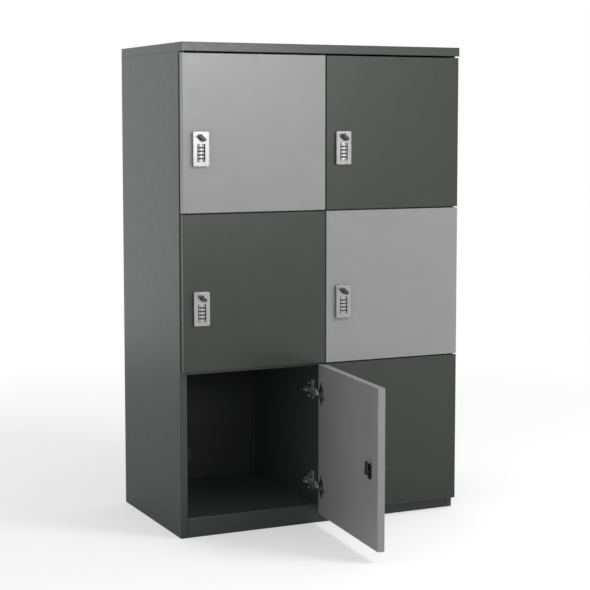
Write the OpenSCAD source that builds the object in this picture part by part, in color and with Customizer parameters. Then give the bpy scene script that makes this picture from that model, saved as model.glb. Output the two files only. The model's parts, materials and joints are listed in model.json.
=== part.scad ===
// Bank of six small lockers in laminated board: two columns of three doors. Each door hangs on
// two concealed cup hinges and shuts with a four-dial cam lock. Sizes are in millimetres.
// +Z is up and +Y points to the back. The origin is on the floor, under the carcass's middle.

/* [Cabinet] */
// Overall height, from the floor to the top board's upper face
body_h = 1200; // [1000:10:1500]
// Overall width
body_w = 762; // [640:2:1000]
// Depth of the carcass, without the top board's lip and the doors
body_d = 410; // [320:5:600]
// Thickness of the sides, divider, shelves, bottom and plinth boards
board_t = 18; // [15:0.5:22]
// Thickness of the top board
top_t = 22; // [16:1:30]
// How far the top board's front edge stands ahead of the closed doors
top_cover = 1; // [0:0.5:10]
// Height of the front plinth board
plinth_h = 49; // [40:1:90]
// Thickness of the back panel
back_t = 8; // [4:0.5:10]
// Distance from the sides' rear edges to the back panel
back_inset = 5; // [3:1:20]
// Depth of the grooves that hold the back panel
groove_depth = 8; // [4:1:10]

/* [Doors] */
// Thickness of a door
door_t = 18; // [16:0.5:22]
// Gap between neighbouring doors
door_gap = 3; // [2:0.5:5]
// How far the doors stay inside the sides' outer faces
door_reveal = 2; // [1:0.5:4]
// Air between a closed door and the carcass's front edges
door_standoff = 3; // [2.5:0.5:5]
// Height of the lowest doors' bottom edge above the floor
door_floor_gap = 28; // [10:1:36]
// Gap between the highest doors and the top board
door_top_gap = 4; // [2:0.5:8]
// Angle at which the lowest left door stands open
open_angle = 85; // [0:1:90]
// Small bevel round the edges of doors and boards
edge_bevel = 0.8; // [0.4:0.1:1.5]

/* [Hinges] */
// Radius of a hinge cup's body
cup_r = 17.5; // [15:0.5:19]
// Depth of a hinge cup in the door
cup_depth = 11.5; // [10:0.5:13]
// Distance from the side panels' inner faces to the hinge cups' centres
cup_setback = 6.5; // [6:0.5:9]
// Distance from the door's ends to the hinges' centres
hinge_end = 72; // [60:1:100]
// Distance from the carcass's front edges to the mounting plates' centre line
plate_line = 37; // [34:1:50]
// Length of a hinge arm along the jamb
arm_l = 60; // [56:1:80]
// Width of a hinge arm
arm_w = 13; // [11:0.5:16]
// Turn of a hinge link for each degree that its door turns
link_ratio = 0.91; // [0.86:0.01:0.92]

/* [Locks] */
// Width of a lock's face plate
lock_w = 41; // [36:1:50]
// Height of a lock's face plate
lock_h = 82; // [80:1:100]
// How far a face plate stands proud of the door
lock_proud = 8; // [6:0.5:11]
// Distance from the door's free edge to the knob's axis
lock_edge = 44.5; // [40:0.5:60]
// Distance from the door's mid-height down to the knob's axis
knob_drop = 10.5; // [0:0.5:40]
// Distance from the knob's axis up to the face plate's top edge
plate_above_knob = 14.6; // [13:0.1:20]
// Length of the bar knob
knob_l = 20; // [16:0.5:26]
// Width of the bar knob
knob_w = 7.5; // [6:0.5:10]
// How far the bar knob stands ahead of the face plate
knob_out = 13; // [10:0.5:18]
// Slope of the bar knob while the lock is open
knob_tilt = -45; // [-60:1:0]
// Radius of the spindle between knob and cam
spindle_r = 4; // [3:0.5:5]
// Air between a locked cam's tip and the left side panel
cam_clear = 3.5; // [3.5:0.5:8]
// Width of the cam
cam_w = 12; // [9:0.5:14]
// Thickness of the cam
cam_t = 2.5; // [2:0.5:4]
// How far a locked cam's tip reaches over the keeper's flange
keeper_bite = 6; // [4:0.5:8]
// Height of a keeper
keeper_h = 30; // [26:1:50]
// Thickness of a keeper's sheet metal
keeper_t = 2; // [1.5:0.5:3]

/* [Dials] */
// Radius of a dial's rims
dial_r = 11.5; // [10:0.5:12]
// Distance from one dial to the next
dial_pitch = 8.7; // [7.5:0.1:9.5]
// How far the dials stand ahead of the face plate
dial_out = 3; // [2:0.5:4]
// Radius of the axle that carries the dials
axle_r = 2; // [1.5:0.5:3]
// Height of the dark band that carries a dial's numbers
band_h = 4.2; // [3:0.1:5]
// Width of the window in the face plate
window_w = 20.6; // [18:0.1:22]
// Radius of the window's corners
window_r = 2.5; // [0.5:0.5:4]

/* [Hidden] */
$fn = 64;
ROWS = ["low", "mid", "top"];
COLS = ["left", "right"];
BAYS = [for (row = ROWS) for (col = COLS) str(row, "_", col)];
DIALS = [1, 2, 3, 4];
OPEN_BAY = "low_left";

CARCASS = ["side_panel_left", "side_panel_right", "top_panel", "bottom_panel", "centre_divider",
    "back_panel", "shelves", "plinth_rails", "hinge_plates", "hinge_arms", "keepers"];

over = 1;                  // how far a cut runs past the face that it opens
seat_gap = 0.1;            // slack between a piece and the recess that it is let into
run_gap = 0.3;             // air between pieces that move past each other
fit_gap = 0.05;            // radial clearance of a shaft in its bore
press_gap = 0.01;          // radial clearance of a pin or axle that is pressed in

// Carcass
front_y = -body_d / 2;
back_front_y = body_d / 2 - back_inset - back_t;
inner_x = body_w / 2 - board_t;
divider_x = board_t / 2;
under_top_z = body_h - top_t;
floor_board_z = plinth_h - board_t;
shelf_rise = 1.5;          // a shelf's middle above the middle of the gap between two rows
shelf_w = inner_x - divider_x;

// Doors
door_w = (body_w - 2 * door_reveal - door_gap) / 2;
door_h = (under_top_z - door_top_gap - door_floor_gap - (len(ROWS) - 1) * door_gap) / len(ROWS);
door_front_y = front_y - door_standoff - door_t;
top_lip = door_standoff + door_t + top_cover;

// Hinges, in the hinge's own frame: the origin is on the door's outer edge, at the cup's height
cup_wall = 1;
cup_inner_r = cup_r - cup_wall;
cup_floor_y = door_t - cup_depth + cup_wall;
rim_h = 0.8;               // the cup's rim above the door's inner face
flange_h = 1.2;            // the cup's screw flange above the door's inner face
flange_l = 54;
flange_w = 15;
flange_hole_x = 22.5;      // half the distance between the flange's two screw holes
screw_hole_r = 2.2;
nose_r = 2;                // half the thickness of the arm's nose, round the link's pin
pin_r = 1.25;
cheek_t = 1.8;
link_w = arm_w - 2 * cheek_t - 2 * run_gap;
link_half_t = 1.2;
side_cover = board_t - door_reveal;    // how far a door covers a side panel's front edge
cup_inset = side_cover + cup_setback;  // from the door's hinge edge
near_rim_x = cup_inset - sqrt(pow(cup_inner_r, 2) - pow(arm_w / 2, 2));
pivot_x = side_cover + nose_r + 0.5;
pivot_radius = norm([near_rim_x, door_t + rim_h + nose_r]) + 0.35;
pivot_lowest = cup_floor_y + link_half_t + 1.2 + run_gap;
pivot_y = max(sqrt(max(0, pow(pivot_radius, 2) - pow(pivot_x, 2))), pivot_lowest);
cup_far_x = cup_inset + sqrt(pow(cup_inner_r, 2) - pow(link_w / 2, 2));
link_l = cup_far_x - link_half_t - 0.25 - pivot_x;
link_belly = 1.2;          // how far the link bows towards the cup's floor
link_tip = 0.4;            // how far its free end rises again
plate_h = 3.2;             // the mounting plate's rail above the jamb
plate_l = 40;
wing_h = 1.8;              // the mounting plate's wings above the jamb
wing_l = 50;
wing_w = 14;
wing_r = 4;
wing_hole_z = 16;          // half the distance between the wings' two screw holes
arm_h = 12.5;              // least height of the arm's back above the jamb
arm_web = 1.4;
arm_neck = 6;              // the arm's underside runs level this far behind the carcass's front
arm_bend = 9;              // and its back this far, before both bend out to the plate
arm_slope = 15;            // depth over which the arm's back rises
arm_foot = 13;             // where the underside meets the plate
arm_tail = 34;             // how much the arm is shorter behind the plate's line

// Locks, in the lock's own frame: the origin is on the knob's axis, on the door's front face
plate_r = 3.5;
plate_bevel = 0.9;
plate_mid_z = plate_above_knob - lock_h / 2;
dial_h = dial_pitch - run_gap;
dials_h = len(DIALS) * dial_pitch;
collar_h = 4.4;            // fixed collars above and below the dials
collar_r = dial_r - 0.6;
band_r = dial_r - 0.5;
notch_r = 1.6;             // finger notches between the numbers, as deep as the band
window_h = dials_h + 2 * collar_h;
window_drop = 14.2;        // from the knob's axis down to the window's top edge
window_mid_z = -window_drop - window_h / 2;
window_depth = 3;
axle_l = window_h + 3.8;   // the axle's ends are let into the case
dial_axis_y = dial_r - lock_proud - dial_out;
chamber_r = dial_r + 0.6;
case_wall = 1.4;
case_w = 2 * (chamber_r + case_wall);
case_back_y = dial_axis_y + chamber_r + 1;
case_top_z = 11;
case_bottom_z = window_mid_z - window_h / 2 - 3.5;
case_r = 3;
barrel_r = 8.5;
boss_w = 18;
boss_h = 38;
boss_t = 2.5;
knob_foot_h = 1.5;         // the round foot under the bar knob
knob_foot_r = spindle_r + 1.5;
knob_r = 2;
knob_bevel = 1.2;
keeper_front = 2.8;        // the keeper's flange behind the carcass's front edges
keeper_foot = 20;
keeper_r = 3;
cam_front_y = door_t + door_standoff + keeper_front + keeper_t + 0.7;
square_w = spindle_r * sqrt(2) - 0.06;
hub_r = 8;
cam_reach = lock_edge - side_cover - cam_clear;    // from the spindle's axis to the cam's tip
cam_r = 2;
cam_screw_r = 5;
cam_screw_h = 2;
cam_thread_r = 1.6;
cam_thread_l = 6;

// Where things are
function col_of(bay) = [for (i = [0 : 1]) for (row = ROWS) if (bay == str(row, "_", COLS[i])) i][0];
function row_of(bay) = [for (i = [0 : 2]) for (col = COLS) if (bay == str(ROWS[i], "_", col)) i][0];
function door_z(row) = door_floor_gap + row * (door_h + door_gap);
function shelf_z(row) = door_z(row) - door_gap / 2 + shelf_rise - board_t / 2;
function hinge_x(col) = col == 0 ? -door_gap / 2 : body_w / 2 - door_reveal;
function jamb_x(col) = (col == 0 ? -divider_x : inner_x) - hinge_x(col);
function keeper_x(col) = col == 0 ? -inner_x : divider_x;
function keeper_reach(col) = hinge_x(col) + knob_x() - cam_reach + keeper_bite - keeper_x(col);
function knob_x() = lock_edge - door_w;
function knob_z() = door_h / 2 - knob_drop;
function hinge_zs() = [hinge_end, door_h - hinge_end];
function bay_angle(bay) = bay == OPEN_BAY ? open_angle : 0;
function dial_z(n) = window_mid_z + dials_h / 2 - (n - 0.5) * dial_pitch;

// Moves a piece drawn on a closed door to its bay, turned about the hinge edge by the door's angle
module at_door(bay) {
    translate([hinge_x(col_of(bay)), door_front_y, door_z(row_of(bay))])
        rotate([0, 0, bay_angle(bay)])
            children();
}

// The same place, but fixed to the carcass and so never turned
module at_bay(bay) {
    translate([hinge_x(col_of(bay)), door_front_y, door_z(row_of(bay))])
        children();
}

// A board that stands in X and Z, with a flat bevel round its front face and one round its back
module faced_board(w, t, h, front_bevel, back_bevel = 0) {
    intersection() {
        linear_extrude(h)
            bevelled_section(w, t, front_bevel, back_bevel);
        rotate([0, 90, 0])
            linear_extrude(w)
                mirror([1, 0])
                    bevelled_section(h, t, front_bevel, back_bevel);
    }
}

module bevelled_section(w, t, front, back) {
    polygon(concat([[0, front], [front, 0], [w - front, 0], [w, front]],
        back == 0 ? [[w, t], [0, t]] : [[w, t - back], [w - back, t], [back, t], [0, t - back]]));
}

// A rectangle with round corners, centred on the origin
module round_rect(w, h, r) {
    square([w - 2 * r, h], center = true);
    square([w, h - 2 * r], center = true);
    for (sx = [-1, 1]) for (sy = [-1, 1])
        translate([sx * (w / 2 - r), sy * (h / 2 - r)])
            circle(r);
}

// Extrudes a drawing in X and Z along +Y, from y0 over a depth
module into_door(y0, depth) {
    translate([0, y0 + depth, 0])
        rotate([90, 0, 0])
            linear_extrude(depth)
                children();
}

// ---- Carcass ----

module side_panel(side) {
    color("#73777a")
    difference() {
        translate([side < 0 ? -body_w / 2 : inner_x, front_y, 0])
            faced_board(board_t, body_d, under_top_z, edge_bevel);
        back_groove();
    }
}

// The space that the back panel fills, with a little slack
module back_groove() {
    translate([-inner_x - groove_depth - over, back_front_y - seat_gap, floor_board_z - over])
        cube([2 * (inner_x + groove_depth + over), back_t + 2 * seat_gap, body_h]);
}

module side_panel_left() side_panel(-1);

module side_panel_right() side_panel(1);

module top_panel() {
    color("#7b7f82")
    difference() {
        translate([-body_w / 2, front_y - top_lip, under_top_z])
            faced_board(body_w, body_d + top_lip, top_t, edge_bevel);
        translate([-inner_x - seat_gap, back_front_y - seat_gap, under_top_z - over])
            cube([2 * (inner_x + seat_gap), back_t + 2 * seat_gap, over + groove_depth]);
    }
}

module bottom_panel() {
    color("#2c2f2e")
    translate([-inner_x, front_y + board_t, floor_board_z])
        cube([2 * inner_x, back_front_y - front_y - board_t, board_t]);
}

module centre_divider() {
    color("#2f3231")
    translate([-divider_x, front_y, plinth_h])
        faced_board(board_t, back_front_y - front_y, under_top_z - plinth_h, edge_bevel);
}

module back_panel() {
    color("#2a2c2c")
    translate([-inner_x - groove_depth + seat_gap, back_front_y, floor_board_z])
        cube([2 * (inner_x + groove_depth - seat_gap), back_t, under_top_z - floor_board_z]);
}

module shelves() {
    color("#343736")
    for (row = [1, 2]) for (x = [-inner_x, divider_x])
        translate([x, front_y, shelf_z(row)])
            faced_board(shelf_w, back_front_y - front_y, board_t, edge_bevel);
}

module plinth_rails() {
    color("#3a3e3c") {
        translate([-inner_x, front_y, 0])
            faced_board(2 * inner_x, board_t, plinth_h, edge_bevel);
        translate([-inner_x, back_front_y - board_t, 0])
            cube([2 * inner_x, board_t, floor_board_z]);
        translate([-divider_x, front_y + board_t + seat_gap, 0])
            cube([board_t, back_front_y - front_y - 2 * (board_t + seat_gap), floor_board_z]);
    }
}

// ---- Hinges ----

// The arm's back clears the link's pin where the pivot stands far out from the jamb
function arm_top(pivot_lift) = max(arm_h, pivot_lift + pin_r + 0.25);

// Outline of a hinge arm, seen along its pin: [lift above the jamb, distance behind the door front]
function arm_outline(pivot_lift) = let (
    top = arm_top(pivot_lift),
    front = door_t + door_standoff,
    seat = plate_h + seat_gap,
    end = front + plate_line + arm_l - arm_tail)
    [[pivot_lift - nose_r, pivot_y], [pivot_lift - nose_r, front + arm_neck],
     [seat, front + arm_foot], [seat, end], [seat + 4, end], [top, end - 5],
     [top, front + arm_bend + arm_slope], [pivot_lift + nose_r, front + arm_bend],
     [pivot_lift + nose_r, pivot_y]];

// The channel under the arm: open towards the jamb over the plate, and right through at the link
function channel_outline(jamb) = let (
    front = door_t + door_standoff,
    nose_back = -pivot_x - nose_r + arm_web,
    top = jamb - arm_top(jamb + pivot_x),
    back = top + arm_web,
    end = front + plate_line + arm_l)
    [[jamb + over, pivot_y - 2 * nose_r], [top - over, pivot_y - 2 * nose_r],
     [top - over, front], [nose_back, front + 2], [nose_back, front + arm_bend + 0.5],
     [back, front + arm_bend + arm_slope + 0.5], [back, end], [jamb + over, end]];

module hinge_arm(jamb) {
    pivot_lift = jamb + pivot_x;
    difference() {
        translate([jamb, 0, -arm_w / 2])
            linear_extrude(arm_w)
                union() {
                    polygon([for (p = arm_outline(pivot_lift)) [-p[0], p[1]]]);
                    translate([-pivot_lift, pivot_y])
                        circle(nose_r);
                }
        translate([0, 0, -arm_w / 2 + cheek_t])
            linear_extrude(arm_w - 2 * cheek_t)
                polygon(channel_outline(jamb));
        translate([-pivot_x, pivot_y, -arm_w])
            cylinder(h = 2 * arm_w, r = pin_r + press_gap);
    }
    translate([-pivot_x, pivot_y, -arm_w / 2])
        cylinder(h = arm_w, r = pin_r);
}

module hinge_arms() {
    color("#c9ccce")
    for (bay = BAYS) for (z = hinge_zs())
        at_bay(bay)
            translate([0, 0, z])
                hinge_arm(jamb_x(col_of(bay)));
}

module hinge_plate(jamb) {
    front = door_t + door_standoff;
    rail_w = arm_w - 2 * cheek_t - 2 * seat_gap;
    difference() {
        union() {
            translate([jamb - plate_h, front + plate_line - 18, -rail_w / 2])
                cube([plate_h, plate_l, rail_w]);
            translate([jamb, front + plate_line, 0])
                rotate([0, -90, 0])
                    linear_extrude(wing_h)
                        round_rect(wing_l, wing_w, wing_r);
        }
        for (side = [-1, 1])
            translate([jamb + over, front + plate_line, side * wing_hole_z])
                rotate([0, -90, 0])
                    cylinder(h = wing_h + 2 * over, r = screw_hole_r);
    }
}

module hinge_plates() {
    color("#b9bcbf")
    for (bay = BAYS) for (z = hinge_zs())
        at_bay(bay)
            translate([0, 0, z])
                hinge_plate(jamb_x(col_of(bay)));
}

function link_points() = [[0, 0], [-0.3 * link_l, 0], [-0.65 * link_l, -link_belly],
    [-link_l, link_tip]];

// One link, drawn with its pin on the origin and shut; it turns less than its door does
module hinge_link() {
    points = link_points();
    translate([0, 0, -link_w / 2])
        linear_extrude(link_w)
            difference() {
                union() {
                    circle(nose_r);
                    for (p = points)
                        translate(p)
                            circle(link_half_t);
                    for (i = [0 : len(points) - 2]) {
                        step = points[i + 1] - points[i];
                        translate(points[i])
                            rotate(atan2(step[1], step[0]))
                                translate([0, -link_half_t])
                                    square([norm(step), 2 * link_half_t]);
                    }
                }
                circle(pin_r + fit_gap);
            }
}

module hinge_links(bay) {
    color("#d5d7d9")
    for (z = hinge_zs())
        at_bay(bay)
            translate([-pivot_x, pivot_y, z])
                rotate([0, 0, link_ratio * bay_angle(bay)])
                    hinge_link();
}

// A pressed steel cup with a screw flange on the door's inner face
module hinge_cup() {
    translate([-cup_inset, 0, 0])
        difference() {
            union() {
                into_door(cup_floor_y - cup_wall, door_t + rim_h - cup_floor_y + cup_wall)
                    circle(cup_r);
                into_door(door_t, rim_h)
                    circle(cup_r + 1.1);
                into_door(door_t, flange_h)
                    round_rect(flange_w, flange_l, 5);
            }
            into_door(cup_floor_y, door_t)
                circle(cup_inner_r);
            for (side = [-1, 1])
                translate([0, 0, side * flange_hole_x])
                    into_door(door_t - over, flange_h + 2 * over)
                        circle(screw_hole_r);
        }
}

// ---- Doors ----

module door_panel(bay) {
    light = (col_of(bay) + row_of(bay)) % 2 == 0;
    color(light ? "#a9aaa9" : "#555854")
    at_door(bay)
        difference() {
            translate([-door_w, 0, 0])
                faced_board(door_w, door_t, door_h, edge_bevel, edge_bevel);
            for (z = hinge_zs())
                translate([-cup_inset, 0, z])
                    into_door(door_t - cup_depth - seat_gap, cup_depth + 1)
                        circle(cup_r + seat_gap);
            translate([knob_x(), 0, knob_z()]) {
                translate([0, 0, (case_top_z + case_bottom_z) / 2])
                    into_door(-over, case_back_y + seat_gap + over)
                        round_rect(case_w + 2 * seat_gap, case_top_z - case_bottom_z + 2 * seat_gap,
                            case_r + seat_gap);
                into_door(0, door_t + over)
                    circle(barrel_r + seat_gap);
            }
        }
}

// The lock's case: face plate, the body let into the door and the barrel round the spindle
module lock_case() {
    difference() {
        union() {
            translate([0, 0, plate_mid_z])
                face_plate();
            translate([0, 0, (case_top_z + case_bottom_z) / 2])
                into_door(-over, case_back_y + over)
                    round_rect(case_w, case_top_z - case_bottom_z, case_r);
            into_door(0, door_t - seat_gap)
                circle(barrel_r);
        }
        translate([0, 0, window_mid_z])
            into_door(-lock_proud - over, window_depth + over)
                round_rect(window_w, window_h, window_r);
        translate([0, dial_axis_y, window_mid_z - dials_h / 2])
            cylinder(h = dials_h, r = chamber_r);
        translate([0, dial_axis_y, window_mid_z])
            cylinder(h = axle_l + 2 * seat_gap, r = axle_r + press_gap, center = true);
        into_door(-lock_proud - over, lock_proud + door_t + 2 * over)
            circle(spindle_r + fit_gap);
    }
    // fixed collars at both ends of the row of dials
    for (end = [-1, 1])
        translate([0, dial_axis_y, window_mid_z + end * (dials_h + collar_h) / 2])
            difference() {
                cylinder(h = collar_h, r = collar_r, center = true);
                cylinder(h = collar_h + over, r = axle_r + press_gap, center = true);
            }
}

// Rounded plate whose front edge is bevelled
module face_plate() {
    into_door(-lock_proud + plate_bevel, lock_proud - plate_bevel)
        round_rect(lock_w, lock_h, plate_r);
    into_door(-lock_proud, plate_bevel)
        round_rect(lock_w - 2 * plate_bevel, lock_h - 2 * plate_bevel, plate_r - plate_bevel);
}

module dial_axle() {
    translate([0, dial_axis_y, window_mid_z])
        cylinder(h = axle_l, r = axle_r, center = true);
}

// The cover on the door's inner face, round the end of the barrel
module rear_boss() {
    difference() {
        into_door(door_t, boss_t)
            round_rect(boss_w, boss_h, boss_w / 2 - 0.01);
        into_door(door_t - over, boss_t + 2 * over)
            circle(spindle_r + fit_gap);
    }
}

module door_fittings(bay) {
    color("#c4c6c8")
    at_door(bay) {
        for (z = hinge_zs())
            translate([0, 0, z])
                hinge_cup();
        translate([knob_x(), 0, knob_z()]) {
            lock_case();
            dial_axle();
            rear_boss();
        }
    }
}

// ---- Latches ----

// A bar with bevelled ends on a low round foot
module bar_knob() {
    foot_y = -lock_proud - run_gap - knob_foot_h;
    tip_y = -lock_proud - knob_out;
    half = knob_l / 2;
    into_door(foot_y, knob_foot_h)
        circle(knob_foot_r);
    rotate([0, -knob_tilt, 0])
        intersection() {
            into_door(tip_y, foot_y - tip_y + knob_foot_h / 2)
                round_rect(knob_l, knob_w, knob_r);
            translate([0, 0, -knob_w])
                linear_extrude(2 * knob_w)
                    polygon([[-half, 0], [-half, tip_y + knob_bevel], [knob_bevel - half, tip_y],
                        [half - knob_bevel, tip_y], [half, tip_y + knob_bevel], [half, 0]]);
        }
}

// Round up to the cam, then square through it
module spindle() {
    start_y = -lock_proud - run_gap - knob_foot_h;
    into_door(start_y, cam_front_y - seat_gap - start_y)
        circle(spindle_r);
    into_door(cam_front_y - over, over + cam_t - seat_gap)
        square(square_w, center = true);
}

module cam() {
    tip = cam_w / 2 - cam_r;
    difference() {
        into_door(cam_front_y, cam_t) {
            circle(hub_r);
            translate([-cam_w / 2, 0])
                square([cam_w, cam_reach - cam_r]);
            translate([-tip, 0])
                square([2 * tip, cam_reach]);
            for (side = [-1, 1])
                translate([side * tip, cam_reach - cam_r])
                    circle(cam_r);
        }
        into_door(cam_front_y - over, cam_t + 2 * over)
            square(square_w + 2 * fit_gap, center = true);
    }
}

// Its head holds the cam on the square
module cam_screw() {
    head_y = cam_front_y + cam_t + seat_gap;
    into_door(head_y, cam_screw_h)
        circle(cam_screw_r);
    into_door(head_y - cam_thread_l, cam_thread_l + over)
        circle(cam_thread_r - fit_gap);
}

module latch(bay) {
    color("#4b4d50")
    at_door(bay)
        translate([knob_x(), 0, knob_z()]) {
            difference() {
                union() {
                    bar_knob();
                    spindle();
                }
                into_door(cam_front_y + cam_t - cam_thread_l - over, 2 * cam_thread_l)
                    circle(cam_thread_r);
            }
            cam();
            cam_screw();
        }
}

// An L of sheet metal: the foot lies on the jamb and the flange stands in front of the cam
module keeper(reach) {
    cube([reach - keeper_r, keeper_t, keeper_h]);
    translate([0, 0, keeper_r])
        cube([reach, keeper_t, keeper_h - 2 * keeper_r]);
    for (z = [keeper_r, keeper_h - keeper_r])
        translate([reach - keeper_r, 0, z])
            into_door(0, keeper_t)
                circle(keeper_r);
    cube([keeper_t, keeper_foot, keeper_h]);
}

module keepers() {
    color("#303234")
    for (bay = BAYS)
        translate([keeper_x(col_of(bay)), front_y + keeper_front,
                door_z(row_of(bay)) + knob_z() - keeper_h / 2])
            keeper(keeper_reach(col_of(bay)));
}

// ---- Dials ----

// One wheel: two rims beside a sunk band, with ten finger notches across the rims
module dial(bay, n) {
    half = dial_h / 2;
    color("#d2d4d6")
    at_door(bay)
        translate([knob_x(), dial_axis_y, knob_z() + dial_z(n)])
            difference() {
                rotate_extrude()
                    polygon([[axle_r + fit_gap, -half], [dial_r, -half], [dial_r, -band_h / 2],
                        [band_r, -band_h / 2], [band_r, band_h / 2], [dial_r, band_h / 2],
                        [dial_r, half], [axle_r + fit_gap, half]]);
                for (i = [0 : 9])
                    rotate([0, 0, 36 * i - 72])
                        translate([band_r + notch_r, 0, 0])
                            cylinder(h = dial_h + over, r = notch_r, center = true, $fn = 24);
            }
}

side_panel_left();
side_panel_right();
top_panel();
bottom_panel();
centre_divider();
back_panel();
shelves();
plinth_rails();
hinge_plates();
hinge_arms();
keepers();
for (bay = BAYS) {
    door_panel(bay);
    door_fittings(bay);
    latch(bay);
    hinge_links(bay);
    for (n = DIALS)
        dial(bay, n);
}
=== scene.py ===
"""Looks of a bank of six lockers: laminated boards, cup hinges and four-dial combination cam locks.

Metres throughout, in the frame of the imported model: +Z up, +Y to the back, origin on the floor.
"""
import json
import math

import bmesh
import bpy
from mathutils import Matrix, Vector


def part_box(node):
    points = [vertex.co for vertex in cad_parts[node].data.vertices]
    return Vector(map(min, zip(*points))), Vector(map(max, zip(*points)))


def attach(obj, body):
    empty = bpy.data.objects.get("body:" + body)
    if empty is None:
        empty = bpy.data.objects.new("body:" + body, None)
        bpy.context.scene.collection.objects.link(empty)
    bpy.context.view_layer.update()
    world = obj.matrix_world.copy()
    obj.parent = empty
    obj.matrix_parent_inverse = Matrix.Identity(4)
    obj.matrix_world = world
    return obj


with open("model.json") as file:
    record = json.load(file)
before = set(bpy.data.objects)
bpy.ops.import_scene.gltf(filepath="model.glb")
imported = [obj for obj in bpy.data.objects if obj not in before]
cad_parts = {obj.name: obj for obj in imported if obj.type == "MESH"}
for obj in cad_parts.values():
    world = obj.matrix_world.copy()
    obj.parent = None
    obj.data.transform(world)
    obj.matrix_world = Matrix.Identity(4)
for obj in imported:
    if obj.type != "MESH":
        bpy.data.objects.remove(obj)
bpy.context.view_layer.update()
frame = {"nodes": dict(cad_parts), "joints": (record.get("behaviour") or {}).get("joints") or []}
scene = bpy.context.scene
nodes = frame["nodes"]
joints = {joint["name"]: joint for joint in frame["joints"]}

MM = 0.001
UM = 0.000001
BAYS = [f"{row}_{col}" for row in ("low", "mid", "top") for col in ("left", "right")]
LIGHT_BAYS = ("low_left", "mid_right", "top_left")
DIALS = (1, 2, 3, 4)
DIGITS = 10

# Sizes shared with the model
DOOR_T = 18 * MM
CUP_INSET = 22.5 * MM       # from the hinge edge to a cup's centre
HINGE_END = 72 * MM         # from a door's end to a hinge's middle
FLANGE_H = 1.2 * MM         # a cup's flange above the door's inner face
FLANGE_SCREWS = 22.5 * MM   # half the distance between a flange's screws
DOOR_STANDOFF = 3 * MM      # from the door's inner face to the carcass
PLATE_LINE = 37 * MM        # from the carcass's front to the mounting plate's screws
PLATE_SCREWS = 16 * MM      # half the distance between them
WING_H = 1.8 * MM           # thickness of the mounting plate's wings
ARM_BACK = 12.5 * MM        # height of the arm's back above the jamb
JAMB_COVER = 16 * MM        # how much of the jamb a door covers
BAND_R = 11 * MM            # a dial's sunk number band
BAND_H = 4.2 * MM
CHAMBER_R = 12.3 * MM       # the hollow round the dials
DIALS_DROP = 10 * MM        # the hollow lies farther than this below the knob
LOCK_REACH = 150 * MM       # the cups lie farther than this from the knob, the lock nearer

# Sizes of what is added
ARRIS = 0.6 * MM
PLATE_SCREW = (3.4 * MM, 0.9 * MM, 0.7 * MM)    # radius, height, depth of the recess
ARM_SCREW_H = 0.8 * MM
ARM_SCREW_DEPTH = 0.6 * MM
ARM_SCREWS = ((50 * MM, 3.6 * MM), (64 * MM, 3.0 * MM))   # place along the arm, radius
SCREW_SUNK = 0.2 * MM       # how far a head reaches into its plate
DIGIT_SIZE = 4.4 * MM
DIGIT_R = 1.004 * BAND_R    # the numbers stand just proud of the band


# ---- Camera ----

PHOTO_SIDE = 590
CAMERA_AT = Vector((-1.7072, -3.6708, 1.0164))
CAMERA_YAW = 25.272
CAMERA_PITCH = 5.15
FOCAL_PIXELS = 1551.6
CENTRE_X = 296.41
SHIFT_Y = -0.06


def add_camera():
    data = bpy.data.cameras.new("camera")
    data.sensor_width = 36
    data.lens = FOCAL_PIXELS / PHOTO_SIDE * data.sensor_width
    data.shift_x = (PHOTO_SIDE / 2 - CENTRE_X) / PHOTO_SIDE
    data.shift_y = SHIFT_Y
    camera = bpy.data.objects.new("camera", data)
    camera.location = CAMERA_AT
    camera.rotation_euler = (math.radians(90 - CAMERA_PITCH), 0, -math.radians(CAMERA_YAW))
    scene.collection.objects.link(camera)
    scene.camera = camera


# ---- Materials ----

class Shader:
    """A material's node tree, with short ways to add and join nodes."""

    def __init__(self, name):
        self.material = bpy.data.materials.new(name)
        self.material.use_nodes = True
        self.tree = self.material.node_tree
        self.main = self.tree.nodes["Principled BSDF"]

    def node(self, kind, **settings):
        made = self.tree.nodes.new("ShaderNode" + kind)
        for key, value in settings.items():
            if hasattr(made, key):
                setattr(made, key, value)
            else:
                made.inputs[key.replace("_", " ")].default_value = value
        return made

    def link(self, source, target):
        self.tree.links.new(source, target)

    def set(self, **values):
        for key, value in values.items():
            self.main.inputs[key.replace("_", " ")].default_value = value

    def place(self):
        """Object coordinates, which are metres in the row frame."""
        if not hasattr(self, "coordinates"):
            self.coordinates = self.node("TexCoord").outputs["Object"]
        return self.coordinates

    def noise(self, scale, detail=2.0, stretch=None):
        made = self.node("TexNoise", Scale=scale, Detail=detail)
        source = self.place()
        if stretch:
            mapping = self.node("Mapping", Scale=stretch)
            self.link(source, mapping.inputs["Vector"])
            source = mapping.outputs["Vector"]
        self.link(source, made.inputs["Vector"])
        return made.outputs["Fac"]

    def ramp(self, source, low, high, start=0.0, end=1.0):
        """Maps a value from start..end to low..high."""
        made = self.node("MapRange")
        limits = {"From Min": start, "From Max": end, "To Min": low, "To Max": high}
        for key, value in limits.items():
            made.inputs[key].default_value = value
        self.link(source, made.inputs["Value"])
        return made.outputs["Result"]

    def mix_colours(self, factor, low, high):
        made = self.node("Mix", data_type="RGBA")
        sockets = [s for s in made.inputs if s.type == "RGBA"]
        sockets[0].default_value = (*low, 1)
        sockets[1].default_value = (*high, 1)
        self.link(factor, made.inputs[0])
        return [s for s in made.outputs if s.type == "RGBA"][0]

    def bump(self, height, distance, strength=1.0, before=None):
        made = self.node("Bump", Strength=strength, Distance=distance)
        self.link(height, made.inputs["Height"])
        if before:
            self.link(before, made.inputs["Normal"])
        return made.outputs["Normal"]


GRAIN_DEPTH = 10 * UM      # of brushed, plated and painted faces


def shade(colour, factor):
    return tuple(min(1.0, channel * factor) for channel in colour)


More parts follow.
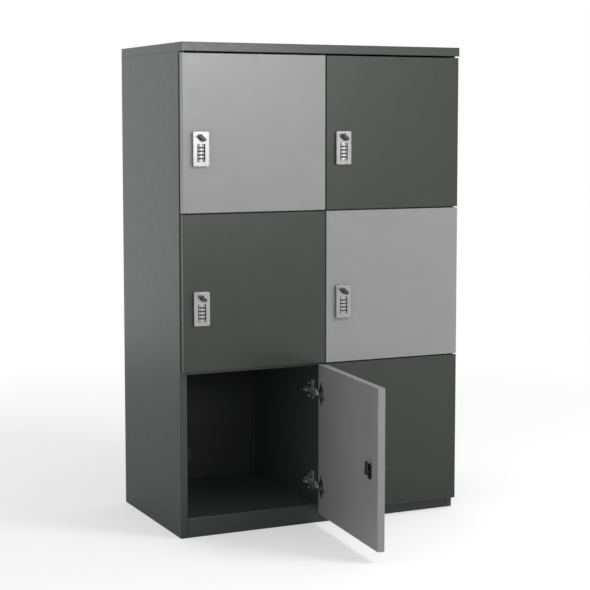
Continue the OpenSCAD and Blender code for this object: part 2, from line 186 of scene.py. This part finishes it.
def laminate(name, colour, roughness, gloss=0.5):
    """Melamine-faced board: a fine grain pressed into the film, and a slightly cloudy print."""
    s = Shader(name)
    s.set(Specular_IOR_Level=gloss)
    clouds = s.noise(9, detail=3)
    specks = s.noise(1400, detail=1)
    tone = s.node("Math", operation="ADD")
    s.link(s.ramp(clouds, -0.35, 0.35, 0.3, 0.7), tone.inputs[0])
    s.link(s.ramp(specks, 0.35, 0.65, 0.25, 0.75), tone.inputs[1])
    s.link(s.mix_colours(tone.outputs[0], shade(colour, 0.96), shade(colour, 1.04)),
           s.main.inputs["Base Color"])
    s.link(s.ramp(s.noise(60, detail=4), roughness - 0.03, roughness + 0.03, 0.3, 0.7),
           s.main.inputs["Roughness"])
    grain = s.bump(s.noise(2200, detail=2), 40 * UM, 0.5)
    s.link(s.bump(s.noise(160, detail=1), 60 * UM, 0.25, grain), s.main.inputs["Normal"])
    return s.material


def metal(name, colour, roughness, stretch=None):
    """Plated or brushed metal; stretch draws the grain out along an axis."""
    s = Shader(name)
    s.set(Metallic=1.0)
    s.link(s.mix_colours(s.noise(40, detail=3), shade(colour, 0.95), shade(colour, 1.05)),
           s.main.inputs["Base Color"])
    lines = s.noise(900, detail=2, stretch=stretch)
    s.link(s.ramp(lines, roughness - 0.05, roughness + 0.05, 0.3, 0.7), s.main.inputs["Roughness"])
    s.link(s.bump(lines, GRAIN_DEPTH), s.main.inputs["Normal"])
    return s.material


def paint(name, colour, roughness, gloss=0.5):
    """Dark coated metal or moulded plastic with a fine texture."""
    s = Shader(name)
    s.set(Specular_IOR_Level=gloss)
    s.link(s.mix_colours(s.noise(300, detail=2), shade(colour, 0.9), shade(colour, 1.1)),
           s.main.inputs["Base Color"])
    s.link(s.ramp(s.noise(500), roughness - 0.04, roughness + 0.04), s.main.inputs["Roughness"])
    s.link(s.bump(s.noise(3000), GRAIN_DEPTH), s.main.inputs["Normal"])
    return s.material


BOARD = laminate("grey_laminate", (0.0465, 0.0567, 0.0502), 0.32)
PLINTH = laminate("plinth_laminate", (0.046, 0.058, 0.051), 0.36)
# The carcass's grey laminate, painted lighter for the divider, bottom and shelves: painted light, a
# lit copy of the one board.
LIT_INNER_BOARD = laminate("inside_laminate_painted_light", (0.060, 0.074, 0.0655), 0.4)
# The carcass's grey laminate made much darker for the back panel: painted shade, for the shade deep
# in the bays.
SHADED_BACK_BOARD = laminate("back_laminate_painted_shade", (0.018, 0.022, 0.0195), 0.5, gloss=0.3)
LIGHT_DOOR = laminate("light_laminate", (0.340, 0.342, 0.341), 0.32)
DARK_DOOR = laminate("dark_laminate", (0.036, 0.041, 0.036), 0.32)
SATIN = metal("satin_silver", (0.34, 0.34, 0.338), 0.29, stretch=(1, 1, 0.06))
NICKEL = metal("nickel", (0.80, 0.80, 0.79), 0.42)
# A darker copy of the hinge nickel for the cups, their flanges and screws: painted shade on the
# door's inner face.
SHADED_CUP_NICKEL = metal("cup_nickel_painted_shade", (0.30, 0.30, 0.297), 0.3)
RIM = metal("polished_rim", (0.46, 0.46, 0.46), 0.27)
STEEL = paint("dark_steel", (0.022, 0.022, 0.023), 0.45)
KEEPER = paint("keeper_black", (0.012, 0.012, 0.012), 0.6, gloss=0.15)
KNOB = paint("knob_black", (0.036, 0.036, 0.038), 0.33)
BAND = paint("number_band", (0.012, 0.012, 0.013), 0.4)
BOSS = paint("lock_cover", (0.010, 0.010, 0.011), 0.45)
INK = paint("number_ink", (0.55, 0.55, 0.53), 0.5)
# Near black for the screws' cross recesses: painted shade in the hollows, the heads being one metal
# throughout.
SHADED_RECESS = paint("screw_recess_painted_shade", (0.02, 0.02, 0.02), 0.6)
# The lock case is satin metal inside the hollow round the dials too; this light matt grey there is
# painted light, so the hollow's walls read lit.
PAINTED_LIGHT_LINING = paint("dial_chamber_painted_light", (0.36, 0.36, 0.355), 0.55)


def wear(node, *materials):
    """Gives a node its materials, the first on every face."""
    slots = nodes[node].data.materials
    slots.clear()
    for material in materials:
        slots.append(material)
    return nodes[node]


def choose(node, rule):
    """Sets each face's material slot from its middle and its normal."""
    mesh = nodes[node].data
    for face in mesh.polygons:
        face.material_index = rule(face.center, face.normal)


def soften(piece, width):
    """Rounds a board's arrises a little, so that they catch the light and the seams show."""
    weld = piece.modifiers.new("weld", "WELD")
    weld.merge_threshold = 10 * UM
    bevel = piece.modifiers.new("arris", "BEVEL")
    bevel.width = width
    bevel.segments = 2
    bevel.limit_method = "ANGLE"
    bevel.angle_limit = math.radians(30)
    bevel.harden_normals = True


# ---- Places ----

def joint_at(name):
    return Vector(joints[name]["pos_m"])


def bay_frame(bay):
    """Origin on the hinge edge at the door's mid-height; X along the front, Y into the carcass."""
    return Matrix.Translation(joint_at(f"door_{bay}_swing"))


def front_turn(bay):
    """How far a bay's door is turned at rest, from facing -Y."""
    out = joints[f"latch_{bay}_turn"]["axis"]
    return math.atan2(out[0], -out[1])


def door_frame(bay):
    """The bay's frame, turned with the door as it stands at rest."""
    return bay_frame(bay) @ Matrix.Rotation(front_turn(bay), 4, "Z")


def facing(matrix, x, y, z, towards):
    """A frame at a point, whose Z axis is the given direction."""
    turn = Vector(towards).to_track_quat("Z", "Y").to_matrix().to_4x4()
    return matrix @ Matrix.Translation((x, y, z)) @ turn


def hinge_heights(bay):
    low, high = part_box(f"door_panel_{bay}")
    reach = (high.z - low.z) / 2 - HINGE_END
    return (-reach, reach)


# ---- Small pieces ----

def new_piece(name, bm, materials, body):
    mesh = bpy.data.meshes.new(name)
    bm.normal_update()
    bm.to_mesh(mesh)
    bm.free()
    for material in materials:
        mesh.materials.append(material)
    piece = bpy.data.objects.new(name, mesh)
    scene.collection.objects.link(piece)
    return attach(piece, body)


def cross_points(half, arm):
    """The 12 corners of a cross with arms of that half width, anticlockwise."""
    quarter = [(half, -arm), (half, arm), (arm, arm)]
    return [Matrix.Rotation(math.radians(90 * i), 2) @ Vector(p) for i in range(4) for p in quarter]


def add_screw(bm, place, radius, height, depth):
    """A screw head with a bevelled rim and a cross recess, seated on a place's XY plane."""
    steps = 32
    bevel = 0.15 * radius
    rings = [(radius, 0), (radius, height - bevel), (radius - bevel, height)]
    loops = []
    for r, z in rings:
        loops.append([bm.verts.new(place @ Vector((r * math.cos(t), r * math.sin(t), z)))
                      for t in (2 * math.pi * i / steps for i in range(steps))])
    corners = cross_points(0.55 * radius, 0.13 * radius)
    top = [bm.verts.new(place @ Vector((p.x, p.y, height))) for p in corners]
    floor = [bm.verts.new(place @ Vector((0.75 * p.x, 0.75 * p.y, height - depth)))
             for p in corners]

    def wall(lower, upper, index):
        for i in range(len(lower)):
            j = (i + 1) % len(lower)
            bm.faces.new((lower[i], lower[j], upper[j], upper[i])).material_index = index

    wall(loops[0], loops[1], 0)
    wall(loops[1], loops[2], 0)
    # The recess's walls and floor take the second slot, near black: painted shade.
    wall(top, floor, 1)
    bm.faces.new(floor).material_index = 1
    edges = []
    for loop in (loops[2], top):
        for i in range(len(loop)):
            a, b = loop[i], loop[(i + 1) % len(loop)]
            edges.append(bm.edges.get((a, b)) or bm.edges.new((a, b)))
    bmesh.ops.triangle_fill(bm, edges=edges, use_beauty=True)


def add_screws():
    plate_y = DOOR_T + DOOR_STANDOFF + PLATE_LINE
    for bay in BAYS:
        door, bay_place = door_frame(bay), bay_frame(bay)
        cups, arms = bmesh.new(), bmesh.new()
        for z in hinge_heights(bay):
            for side in (-1, 1):
                place = facing(door, -CUP_INSET, DOOR_T + FLANGE_H - SCREW_SUNK,
                               z + side * FLANGE_SCREWS, (0, 1, 0))
                add_screw(cups, place, *PLATE_SCREW)
                place = facing(bay_place, -JAMB_COVER - WING_H + SCREW_SUNK, plate_y,
                               z + side * PLATE_SCREWS, (-1, 0, 0))
                add_screw(arms, place, *PLATE_SCREW)
            for y, radius in ARM_SCREWS:
                place = facing(bay_place, -JAMB_COVER - ARM_BACK, y, z, (-1, 0, 0))
                add_screw(arms, place, radius, ARM_SCREW_H, ARM_SCREW_DEPTH)
        # The flange screws wear the darkened copy of the nickel: painted shade.
        new_piece(f"cup_screws_{bay}", cups, (SHADED_CUP_NICKEL, SHADED_RECESS), f"door_{bay}")
        new_piece(f"arm_screws_{bay}", arms, (NICKEL, SHADED_RECESS), "carcass")


def digit_ring():
    """The numbers 0 to 9 round a band of a dial, upright, centred on the origin; 0 faces -Y."""
    ring = bmesh.new()
    for digit in range(DIGITS):
        text = bpy.data.curves.new("digit", "FONT")
        text.body = str(digit)
        text.size = DIGIT_SIZE
        text.align_x = "CENTER"
        text.align_y = "CENTER"
        text.resolution_u = 3
        holder = bpy.data.objects.new("digit", text)
        scene.collection.objects.link(holder)
        bpy.context.view_layer.update()
        mesh = bpy.data.meshes.new_from_object(
            holder.evaluated_get(bpy.context.evaluated_depsgraph_get()))
        middle = sum(v.co.y for v in mesh.vertices) / len(mesh.vertices)
        turn = 2 * math.pi * digit / DIGITS
        for v in mesh.vertices:
            angle = turn + v.co.x / BAND_R - math.pi / 2
            v.co = (DIGIT_R * math.cos(angle), DIGIT_R * math.sin(angle), v.co.y - middle)
        ring.from_mesh(mesh)
        bpy.data.objects.remove(holder)
        bpy.data.curves.remove(text)
        bpy.data.meshes.remove(mesh)
    return ring


def add_digits():
    ring = digit_ring()
    source = bpy.data.meshes.new("digits")
    ring.to_mesh(source)
    ring.free()
    for i, bay in enumerate(BAYS):
        for n in DIALS:
            shown = (3 * i + 7 * n) % DIGITS    # each dial stands at some number
            bm = bmesh.new()
            bm.from_mesh(source)
            turn = front_turn(bay) - 2 * math.pi * shown / DIGITS
            at = Matrix.Translation(joint_at(f"dial_{bay}_{n}_spin"))
            bm.transform(at @ Matrix.Rotation(turn, 4, "Z"))
            new_piece(f"digits_{bay}_{n}", bm, (INK,), f"dial_{bay}_{n}")
    bpy.data.meshes.remove(source)


# ---- Finishes on the model's own nodes ----

def finish_boards():
    for node in ("side_panel_left", "side_panel_right", "top_panel"):
        soften(wear(node, BOARD), ARRIS)
    # The inner boards wear the lighter copy of the carcass's laminate: painted light.
    for node in ("bottom_panel", "centre_divider", "shelves"):
        soften(wear(node, LIT_INNER_BOARD), ARRIS)
    soften(wear("plinth_rails", PLINTH), ARRIS)
    # The back panel wears the darkened copy of the laminate: painted shade.
    wear("back_panel", SHADED_BACK_BOARD)
    for bay in BAYS:
        soften(wear(f"door_panel_{bay}", LIGHT_DOOR if bay in LIGHT_BAYS else DARK_DOOR), ARRIS)


def finish_hinges():
    wear("hinge_plates", NICKEL)
    wear("hinge_arms", NICKEL)
    wear("keepers", KEEPER)
    for bay in BAYS:
        wear(f"hinge_links_{bay}", NICKEL)


def flat(vector):
    return Vector((vector.x, vector.y, 0))


def finish_locks():
    for bay in BAYS:
        knob_at = joint_at(f"latch_{bay}_turn")
        dials_at = joint_at(f"dial_{bay}_1_spin")
        out = Vector(joints[f"latch_{bay}_turn"]["axis"])

        def depth(middle):
            return -(middle - knob_at).dot(out)

        def fitting(middle, normal):
            # The cups, far from the knob, take slot 1, the darkened copy of the nickel: painted
            # shade.
            if flat(middle - knob_at).length > LOCK_REACH:
                return 1
            if depth(middle) > DOOR_T - 0.05 * MM:
                return 2
            # Faces inside the hollow round the dials take slot 3, the light matt grey: painted
            # light.
            radial = flat(middle - dials_at)
            inside = radial.length < CHAMBER_R and radial.dot(normal) < 0
            return 3 if inside and middle.z < knob_at.z - DIALS_DROP else 0

        wear(f"door_fittings_{bay}", SATIN, SHADED_CUP_NICKEL, BOSS, PAINTED_LIGHT_LINING)
        choose(f"door_fittings_{bay}", fitting)
        wear(f"latch_{bay}", KNOB, STEEL)
        choose(f"latch_{bay}", lambda middle, normal: int(depth(middle) > DOOR_T / 2))
        for n in DIALS:
            axis_at = joint_at(f"dial_{bay}_{n}_spin")

            def band(middle, normal):
                reach = flat(middle - axis_at).length
                level = abs(middle.z - axis_at.z) < BAND_H / 2 - 0.01 * MM
                return int(level and reach > BAND_R / 2 and abs(normal.z) < 0.5)

            wear(f"dial_{bay}_{n}", RIM, BAND)
            choose(f"dial_{bay}_{n}", band)


# ---- Floor, light and background ----

FLOOR_HALF = 2.7
FLOOR_SHADE = 0.8
FLOOR_GLOW = 0.42       # lifts the floor towards white for the camera alone
FADE_START = 1.3        # distances from the origin between which the floor turns white
FADE_END = 2.5
SOFT_LIGHT = 0.56


def white_to_lens(tree, plain, white):
    """Shows `white` to the camera, to gloss and through glass, and `plain` to all else."""
    path = tree.nodes.new("ShaderNodeLightPath")
    seen = path.outputs["Is Camera Ray"]
    for ray in ("Is Glossy Ray", "Is Transmission Ray"):
        either = tree.nodes.new("ShaderNodeMath")
        either.operation = "MAXIMUM"
        tree.links.new(seen, either.inputs[0])
        tree.links.new(path.outputs[ray], either.inputs[1])
        seen = either.outputs[0]
    mix = tree.nodes.new("ShaderNodeMixShader")
    tree.links.new(seen, mix.inputs[0])
    tree.links.new(plain, mix.inputs[1])
    tree.links.new(white, mix.inputs[2])
    return mix.outputs[0]


def add_floor():
    mesh = bpy.data.meshes.new("floor")
    h = FLOOR_HALF
    mesh.from_pydata([(-h, -h, 0), (h, -h, 0), (h, h, 0), (-h, h, 0)], [], [(0, 1, 2, 3)])
    floor = bpy.data.objects.new("floor", mesh)
    scene.collection.objects.link(floor)
    s = Shader("pale_floor")
    s.set(Base_Color=(FLOOR_SHADE, FLOOR_SHADE, FLOOR_SHADE, 1), Roughness=0.8,
          Specular_IOR_Level=0.0)
    glow = s.node("Emission", Strength=FLOOR_GLOW)
    both = s.node("AddShader")
    s.link(s.main.outputs[0], both.inputs[0])
    s.link(glow.outputs[0], both.inputs[1])
    # Towards its rim the floor fades into the white background, so no horizon shows
    far = s.node("VectorMath", operation="LENGTH")
    s.link(s.place(), far.inputs[0])
    fade = s.ramp(far.outputs["Value"], 0, 1, FADE_START, FADE_END)
    white = s.node("Emission", Strength=1.0)
    shown = s.node("MixShader")
    s.link(fade, shown.inputs[0])
    s.link(both.outputs[0], shown.inputs[1])
    s.link(white.outputs[0], shown.inputs[2])
    path = s.node("LightPath")
    mix = s.node("MixShader")
    s.link(path.outputs["Is Camera Ray"], mix.inputs[0])
    s.link(s.main.outputs[0], mix.inputs[1])
    s.link(shown.outputs[0], mix.inputs[2])
    s.link(mix.outputs[0], s.tree.nodes["Material Output"].inputs["Surface"])
    mesh.materials.append(s.material)


def add_world():
    world = bpy.data.worlds.new("studio")
    scene.world = world
    world.use_nodes = True
    tree = world.node_tree
    soft = tree.nodes["Background"]
    soft.inputs["Color"].default_value = (1, 1, 1, 1)
    soft.inputs["Strength"].default_value = SOFT_LIGHT
    white = tree.nodes.new("ShaderNodeBackground")
    white.inputs["Color"].default_value = (1, 1, 1, 1)
    white.inputs["Strength"].default_value = 1.0
    shown = white_to_lens(tree, soft.outputs[0], white.outputs[0])
    tree.links.new(shown, tree.nodes["World Output"].inputs["Surface"])


def add_lamp(name, at, look_at, size, power, gloss=True, diffuse=True):
    data = bpy.data.lights.new(name, "AREA")
    data.shape = "RECTANGLE"
    data.size, data.size_y = size
    data.energy = power
    lamp = bpy.data.objects.new(name, data)
    lamp.location = at
    lamp.rotation_euler = (Vector(look_at) - Vector(at)).to_track_quat("-Z", "Y").to_euler()
    lamp.visible_glossy = gloss
    lamp.visible_diffuse = diffuse
    scene.collection.objects.link(lamp)


add_camera()
finish_boards()
finish_hinges()
finish_locks()
add_screws()
add_digits()
add_floor()
add_world()
add_lamp("key", at=(0.05, -3.6, 1.53), look_at=(0.05, 0, 1.53), size=(2.5, 0.67), power=66,
         diffuse=False)
add_lamp("fill", at=(1.6, -2.0, 2.2), look_at=(0.8, -1.2, 0), size=(1.0, 1.0), power=34,
         gloss=False)
scene.view_settings.view_transform = "Standard"
